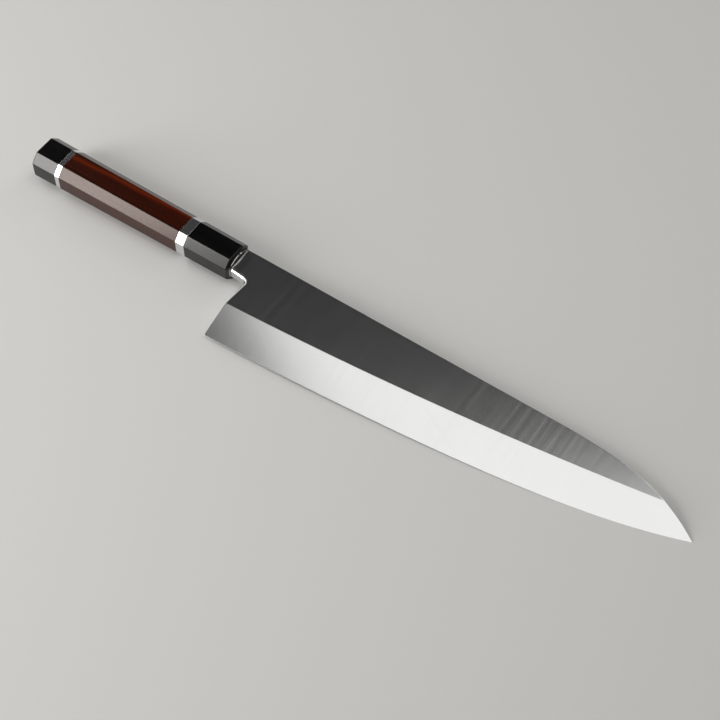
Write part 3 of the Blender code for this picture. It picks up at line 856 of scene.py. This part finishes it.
def put(tree, value, socket):
    """Links a value that is itself a socket to the socket, and sets any other value on it."""
    if isinstance(value, bpy.types.NodeSocket):
        tree.links.new(value, socket)
    else:
        socket.default_value = value


def node(tree, kind, inputs=None, **settings):
    """Adds a shader node with its settings and its inputs."""
    made = tree.nodes.new(kind)
    for name, value in settings.items():
        setattr(made, name, value)
    for name, value in (inputs or {}).items():
        put(tree, value, made.inputs[name])
    return made


def new_material(name):
    """A material with its tree, its Principled shader and the knife's own coordinates."""
    material = bpy.data.materials.new(name)
    material.use_nodes = True
    tree = material.node_tree
    shader = tree.nodes["Principled BSDF"]
    coordinates = node(tree, "ShaderNodeTexCoord").outputs["Object"]
    inputs = {"Vector": coordinates, "Location": KNIFE_PLACE, "Rotation": KNIFE_TURN}
    place = node(tree, "ShaderNodeMapping", inputs, vector_type="TEXTURE").outputs["Vector"]
    return material, tree, shader, place


def noise(tree, place, scale, detail, roughness=0.5, distortion=0.0, shift=0.0):
    """Soft noise from 0 to 1, with scale swells to the metre in each of the three directions.

    A shift gives another stretch of the same noise.
    """
    inputs = {"Vector": place, "Scale": scale, "Location": (shift, 0.0, 0.0)}
    stretched = node(tree, "ShaderNodeMapping", inputs).outputs["Vector"]
    inputs = {"Vector": stretched, "Scale": 1.0, "Detail": detail, "Roughness": roughness,
              "Distortion": distortion}
    return node(tree, "ShaderNodeTexNoise", inputs).outputs["Fac"]


def between(tree, value, low, high, to_low=0.0, to_high=1.0):
    """Carries low..high over to to_low..to_high, held at the ends."""
    inputs = {"Value": value, "From Min": low, "From Max": high, "To Min": to_low, "To Max": to_high}
    return node(tree, "ShaderNodeMapRange", inputs).outputs["Result"]


def maths(tree, operation, a, b):
    """One operation on two numbers or sockets."""
    made = node(tree, "ShaderNodeMath", operation=operation)
    put(tree, a, made.inputs[0])
    put(tree, b, made.inputs[1])
    return made.outputs["Value"]


def plus(tree, a, b):
    """The sum of a and b."""
    return maths(tree, "ADD", a, b)


def minus(tree, a, b):
    """What is left of a when b is taken away."""
    return maths(tree, "SUBTRACT", a, b)


def times(tree, a, b):
    """The product of a and b."""
    return maths(tree, "MULTIPLY", a, b)


def blend(tree, share, a, b):
    """A colour that goes from a to b as the share goes from 0 to 1."""
    made = node(tree, "ShaderNodeMix", data_type="RGBA")
    put(tree, share, made.inputs[0])
    put(tree, a, made.inputs[6])
    put(tree, b, made.inputs[7])
    return made.outputs[2]


def colour(red, green, blue):
    """A colour with full alpha."""
    return (red, green, blue, 1.0)


def bump(tree, height, strength, distance, normal=None):
    """Raises the surface by a height map; returns the new normal."""
    inputs = {"Height": height, "Strength": strength, "Distance": distance}
    if normal is not None:
        inputs["Normal"] = normal
    return node(tree, "ShaderNodeBump", inputs).outputs["Normal"]


def worn_share(tree):
    """The number kept at each point of a mesh: 1 on the handle's ridges and edges and in the hollow."""
    return node(tree, "ShaderNodeAttribute", attribute_name="worn").outputs["Fac"]


def dress(tree, shader, base, roughness, normal):
    """Gives the shader its colour, its roughness and its fine relief."""
    tree.links.new(base, shader.inputs["Base Color"])
    tree.links.new(roughness, shader.inputs["Roughness"])
    tree.links.new(normal, shader.inputs["Normal"])


def steel(name, tint, roughness, sheen, anisotropy):
    """Ground steel: grind marks across the blade, broad faint streaks beside them, and cloudy tint.

    Both are noise drawn out along Y. The streaks add up to twice the share given as sheen to the
    roughness, so they show most where a light's edge is mirrored, and they grow towards the tip. The
    marks tilt the surface very slightly.
    """
    material, tree, shader, place = new_material(name)
    clouds = noise(tree, place, (38, 52, 52), 3.0)
    streaks = noise(tree, place, (300, 9, 9), 2.0, 0.6, shift=3.0)
    marks = noise(tree, place, (1500, 30, 30), 2.0, 0.6)
    darker = tuple(part * (1 - STREAK_DARKNESS * sheen) for part in tint)
    shade = plus(tree, times(tree, streaks, 0.6), times(tree, clouds, 0.4))
    base = blend(tree, between(tree, shade, 0.38, 0.62), colour(*darker), colour(*tint))
    along = node(tree, "ShaderNodeSeparateXYZ", {"Vector": place}).outputs["X"]
    growth = between(tree, along, FAINT_STREAKS_X, FULL_STREAKS_X, 0.25, 1.0)
    swing = times(tree, between(tree, streaks, 0.44, 0.70, 0.0, 2 * roughness * sheen), growth)
    ground = between(tree, marks, 0.4, 0.7, roughness - 0.004, roughness + 0.006)
    dress(tree, shader, base, plus(tree, swing, ground), bump(tree, marks, 0.015, 0.00002))
    shader.inputs["Metallic"].default_value = 1.0
    shader.inputs["Anisotropic"].default_value = anisotropy
    tangent = node(tree, "ShaderNodeTangent", direction_type="UV_MAP", uv_map="along").outputs["Tangent"]
    tree.links.new(tangent, shader.inputs["Tangent"])
    return material


def back_steel():
    """The ground back: brushed lengthwise in the hollow, mirror-flat on the rim that meets the stone."""
    material, tree, shader, place = new_material("ura_steel")
    brushed = noise(tree, place, (50, 2400, 2400), 3.0, 0.6)
    clouds = noise(tree, place, (30, 44, 44), 3.0)
    base = blend(tree, between(tree, clouds, 0.4, 0.6), colour(0.55, 0.56, 0.57), colour(0.63, 0.64, 0.65))
    rough = node(tree, "ShaderNodeMix", data_type="FLOAT")
    put(tree, worn_share(tree), rough.inputs[0])
    put(tree, between(tree, brushed, 0.35, 0.65, 0.08, 0.14), rough.inputs[2])
    put(tree, between(tree, brushed, 0.35, 0.65, 0.20, 0.34), rough.inputs[3])
    dress(tree, shader, base, rough.outputs[0], bump(tree, brushed, 0.25, 0.00003))
    shader.inputs["Metallic"].default_value = 1.0
    return material


def rim_steel():
    """The hand-rounded, polished steel of spine, neck and choil, with fine marks along it."""
    material, tree, shader, place = new_material("rounded_rim_steel")
    marks = noise(tree, place, (120, 1800, 1800), 2.0, 0.6)
    clouds = noise(tree, place, (90, 90, 90), 2.0)
    base = blend(tree, between(tree, clouds, 0.4, 0.6), colour(0.58, 0.58, 0.59), colour(0.68, 0.68, 0.68))
    dress(tree, shader, base, between(tree, marks, 0.3, 0.7, 0.12, 0.22), bump(tree, marks, 0.2, 0.00003))
    shader.inputs["Metallic"].default_value = 1.0
    return material


def nickel_silver():
    """Polished nickel silver: fine turning marks round the handle, softer along worn ridges."""
    material, tree, shader, place = new_material("nickel_silver_polish")
    marks = noise(tree, place, (3200, 90, 90), 2.0, 0.6)
    clouds = noise(tree, place, (140, 140, 140), 3.0)
    base = blend(tree, between(tree, clouds, 0.38, 0.62), colour(0.76, 0.78, 0.79), colour(0.81, 0.83, 0.84))
    rough = plus(tree, between(tree, marks, 0.3, 0.7, 0.20, 0.22), times(tree, worn_share(tree), 0.03))
    dress(tree, shader, base, rough, bump(tree, marks, 0.02, 0.00002))
    shader.inputs["Metallic"].default_value = 1.0
    return material


def horn():
    """Polished buffalo horn: near black, with faint brown layers drawn out along the handle."""
    material, tree, shader, place = new_material("polished_black_horn")
    layers = noise(tree, place, (28, 420, 420), 4.0, 0.6, 0.3)
    fibres = noise(tree, place, (160, 2600, 2600), 2.0)
    black = colour(0.0013, 0.0013, 0.0014)
    brown = colour(0.0036, 0.0028, 0.0024)
    base = blend(tree, between(tree, layers, 0.52, 0.75), black, brown)
    rough = plus(tree, between(tree, fibres, 0.3, 0.7, 0.15, 0.24), times(tree, worn_share(tree), 0.03))
    dress(tree, shader, base, rough, bump(tree, fibres, 0.08, 0.00003))
    shader.inputs["IOR"].default_value = 1.54
    return material


def rosewood():
    """Oiled rosewood: dark red-brown, darker growth layers, an orange streak, and short open pores.

    The layers are noise in the section, drawn out about fifty times along the grip. The streak is a soft
    band between two heights of Y that keeps to the upper side and climbs a little towards the front. It is
    partly the wood's orange grain and partly a painted sheen, the glow that polished wood gives back there.
    """
    material, tree, shader, place = new_material("oiled_rosewood")
    bend = noise(tree, place, (14, 60, 60), 2.0)
    layers = noise(tree, place, (7, 330, 330), 5.0, 0.6, 0.6)
    fine = noise(tree, place, (40, 1500, 1500), 3.0, 0.6, shift=5.0)
    pores = noise(tree, place, (260, 5200, 5200), 1.0, shift=9.0)
    axes = node(tree, "ShaderNodeSeparateXYZ", {"Vector": place})
    height = plus(tree, axes.outputs["Y"], times(tree, minus(tree, bend, 0.5), ORANGE_SHEEN_WANDER))
    height = minus(tree, height, times(tree, axes.outputs["X"], ORANGE_SHEEN_CLIMB))
    rise = between(tree, height, 0.0, ORANGE_SHEEN_HALF_WIDTH)
    fall = between(tree, height, ORANGE_SHEEN_HALF_WIDTH, 2 * ORANGE_SHEEN_HALF_WIDTH, 1.0, 0.0)
    # Painted sheen: the orange band is laid only on the upper side, partly orange grain and partly the glow
    # of light on polished wood
    sheen_upper_side = between(tree, axes.outputs["Z"], 0.002, 0.006)
    grain_and_sheen_streak = times(tree, times(tree, rise, fall), sheen_upper_side)
    grain_and_sheen_streak = times(tree, grain_and_sheen_streak, between(tree, fine, 0.25, 0.6, 0.6, 1.0))
    dark = colour(0.0190, 0.0028, 0.0007)
    red = colour(0.0440, 0.0052, 0.0008)
    orange_grain_and_sheen = colour(0.1700, 0.0170, 0.0006)
    pore_black = colour(0.0040, 0.0020, 0.0015)
    rubbed = colour(0.0700, 0.0220, 0.0100)
    base = blend(tree, between(tree, layers, 0.36, 0.60), dark, red)
    base = blend(tree, times(tree, between(tree, fine, 0.50, 0.72), 0.35), base, dark)
    base = blend(tree, times(tree, grain_and_sheen_streak, 0.80), base, orange_grain_and_sheen)
    hole = between(tree, pores, 0.67, 0.74)
    base = blend(tree, times(tree, hole, 0.6), base, pore_black)
    base = blend(tree, times(tree, worn_share(tree), 0.12), base, rubbed)
    rough = plus(tree, between(tree, fine, 0.3, 0.7, 0.17, 0.25), times(tree, hole, 0.12))
    grain = bump(tree, fine, 0.08, 0.00008)
    grain = bump(tree, minus(tree, 1.0, hole), 0.08, 0.00005, grain)
    dress(tree, shader, base, rough, grain)
    shader.inputs["IOR"].default_value = 1.52
    shader.inputs["Specular Tint"].default_value = colour(1.0, 0.915, 0.86)
    return material


def resin():
    """Dark clear resin, wiped smooth: a clear coat over a brown-black body."""
    material, tree, shader, place = new_material("dark_resin")
    ripple = noise(tree, place, (500, 500, 500), 2.0)
    base = blend(tree, ripple, colour(0.012, 0.009, 0.007), colour(0.030, 0.022, 0.016))
    dress(tree, shader, base, between(tree, ripple, 0.3, 0.7, 0.10, 0.16), bump(tree, ripple, 0.2, 0.00005))
    shader.inputs["IOR"].default_value = 1.80
    shader.inputs["Specular IOR Level"].default_value = 1.0
    shader.inputs["Coat Weight"].default_value = 1.0
    shader.inputs["Coat IOR"].default_value = 2.3
    shader.inputs["Coat Roughness"].default_value = 0.08
    return material


def dowel_wood():
    """Plain pale dowel wood with fine straight grain."""
    material, tree, shader, place = new_material("turned_dowel_wood")
    grain = noise(tree, place, (12, 700, 700), 4.0, 0.6, 0.3)
    base = blend(tree, between(tree, grain, 0.35, 0.65), colour(0.34, 0.21, 0.11), colour(0.55, 0.39, 0.23))
    dress(tree, shader, base, between(tree, grain, 0.3, 0.7, 0.5, 0.68), bump(tree, grain, 0.3, 0.0002))
    return material


def make_knife():
    """Every piece that shows, and the two dowels inside the handle, which keep their CAD shapes."""
    kireha_steel = steel("kireha_steel", (0.650, 0.665, 0.665), 0.24, 0.04, 0.4)
    hira_steel = steel("hira_steel", (0.623, 0.632, 0.634), 0.21, 0.13, 0.3)
    rim = rim_steel()
    black_horn = horn()
    silver = nickel_silver()
    make_blade([hira_steel, kireha_steel, rim, rim, back_steel(), rim])
    make_bead(resin())
    make_ferrule(black_horn)
    make_band("front_band", "front_ring", FRONT_RING_X, FERRULE_X, CORE_BORE_RADIUS,
              FINE_EASE, RING_EASE, silver)
    make_grip(rosewood())
    make_band("rear_band", "rear_ring", REAR_RING_X, BODY_X, CAP_BORE_RADIUS,
              FINE_EASE, FINE_EASE, silver)
    make_butt(black_horn)
    dowel = dowel_wood()
    for name in ("core_dowel", "cap_dowel"):
        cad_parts[name].data.materials.clear()
        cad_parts[name].data.materials.append(dowel)


# Studio

FLOOR_RADIUS = 2.4
COVE_RADIUS = 0.6
WALL_HEIGHT = 1.5
FLOOR_STEPS = 13
FLOOR_SIDES = 96
FLOOR_COLOUR = (0.80, 0.80, 0.79)
ROOM_COLOUR = (0.027, 0.027, 0.028)
LAMP_TINT = (1.0, 0.985, 0.955)

# The lamps: name, place, aim, width and height, radiance and roll
LAMPS = (
    ("overhead_softbox", (0.11, 0.01, 1.2), (0.11, 0.01, 0.0), (0.90, 1.20), 1.36, -math.pi / 4),
    ("butt_panel", (-0.93, -1.0, 0.52), (-0.15, 0.0, 0.1), (0.52, 1.0), 8.0, 0.0),
    ("neck_panel", (-0.46, -1.05, 0.52), (-0.08, 0.0, 0.1), (0.34, 1.0), 1.7, 0.0),
    ("left_panel", (-1.43, 0.12, 0.575), (-0.10, 0.0, 0.1), (1.58, 1.05), 1.6, 0.0),
    ("back_panel", (0.27, 1.22, 0.76), (-0.08, 0.0, 0.01), (0.32, 0.84), 2.2, 0.0),
)


def make_floor():
    """A pale round floor that curves up into a wall: a profile of radius and height turned about Z."""
    level = np.linspace(0, FLOOR_RADIUS, FLOOR_STEPS)
    turn = np.linspace(0, math.pi / 2, FLOOR_STEPS)[1:]
    wall = FLOOR_RADIUS + COVE_RADIUS
    radius = np.concatenate((level, FLOOR_RADIUS + COVE_RADIUS * np.sin(turn), [wall]))
    height = np.concatenate((np.zeros(FLOOR_STEPS), COVE_RADIUS * (1 - np.cos(turn)), [WALL_HEIGHT]))
    around = np.linspace(0, 2 * math.pi, FLOOR_SIDES, endpoint=False)
    grid = np.stack((radius[:, None] * np.cos(around), radius[:, None] * np.sin(around),
                     np.broadcast_to(height[:, None], (len(height), FLOOR_SIDES))), axis=2)
    mesh = bpy.data.meshes.new("floor")
    mesh.from_pydata(grid.reshape(-1, 3), [], grid_quads(len(radius), FLOOR_SIDES, 0, ring=True))
    mesh.shade_smooth()
    floor = new_object("floor", mesh)
    material = bpy.data.materials.new("pale_floor")
    material.use_nodes = True
    shader = material.node_tree.nodes["Principled BSDF"]
    shader.inputs["Base Color"].default_value = colour(*FLOOR_COLOUR)
    shader.inputs["Roughness"].default_value = 0.75
    shader.inputs["Specular IOR Level"].default_value = 0.25
    mesh.materials.append(material)


def add_softbox(name, place, aim, size, radiance, roll):
    """A soft lamp at a place, facing its aim, whose surface shines with the given radiance."""
    light = bpy.data.lights.new(name, "AREA")
    light.shape = "RECTANGLE"
    light.size, light.size_y = size
    light.energy = radiance * math.pi * size[0] * size[1]
    light.color = LAMP_TINT
    lamp = new_object(name, light)
    facing = (Vector(aim) - Vector(place)).to_track_quat("-Z", "Y").to_matrix().to_4x4()
    lamp.matrix_world = Matrix.Translation(place) @ facing @ Matrix.Rotation(roll, 4, "Z")
    lamp.visible_camera = False


def make_lights():
    """Soft studio light: a large box overhead, turned 45 degrees, and four upright panels.

    The panels stand in front of the butt, in front of the neck, on the left and behind the blade. The last
    one draws the fine line on the bead's lip.
    """
    for lamp in LAMPS:
        add_softbox(*lamp)
    world = bpy.data.worlds.new("dim_studio")
    world.use_nodes = True
    background = world.node_tree.nodes["Background"]
    background.inputs["Color"].default_value = colour(*ROOM_COLOUR)
    bpy.context.scene.world = world


def make_camera():
    """The camera that took the photograph, fitted in the knife's frame and turned with the knife."""
    azimuth, elevation, roll = (math.radians(a) for a in (CAMERA_AZIMUTH, CAMERA_ELEVATION, CAMERA_ROLL))
    back = Vector((math.sin(azimuth) * math.cos(elevation), -math.cos(azimuth) * math.cos(elevation),
                   math.sin(elevation)))
    right = Vector((math.cos(azimuth), math.sin(azimuth), 0.0))
    up = back.cross(right)
    place = Vector(CAMERA_TARGET) + back * CAMERA_DISTANCE
    axes = Matrix((right, up, back)).transposed().to_4x4()
    camera = bpy.data.cameras.new("camera")
    camera.lens = CAMERA_LENS
    camera.sensor_width = SENSOR
    camera.clip_start, camera.clip_end = 0.05, 20.0
    obj = new_object("camera", camera)
    obj.matrix_world = knife_to_world() @ Matrix.Translation(place) @ axes @ Matrix.Rotation(roll, 4, "Z")
    bpy.context.scene.camera = obj


make_knife()
make_floor()
make_lights()
make_camera()
bpy.context.scene.view_settings.view_transform = "Standard"
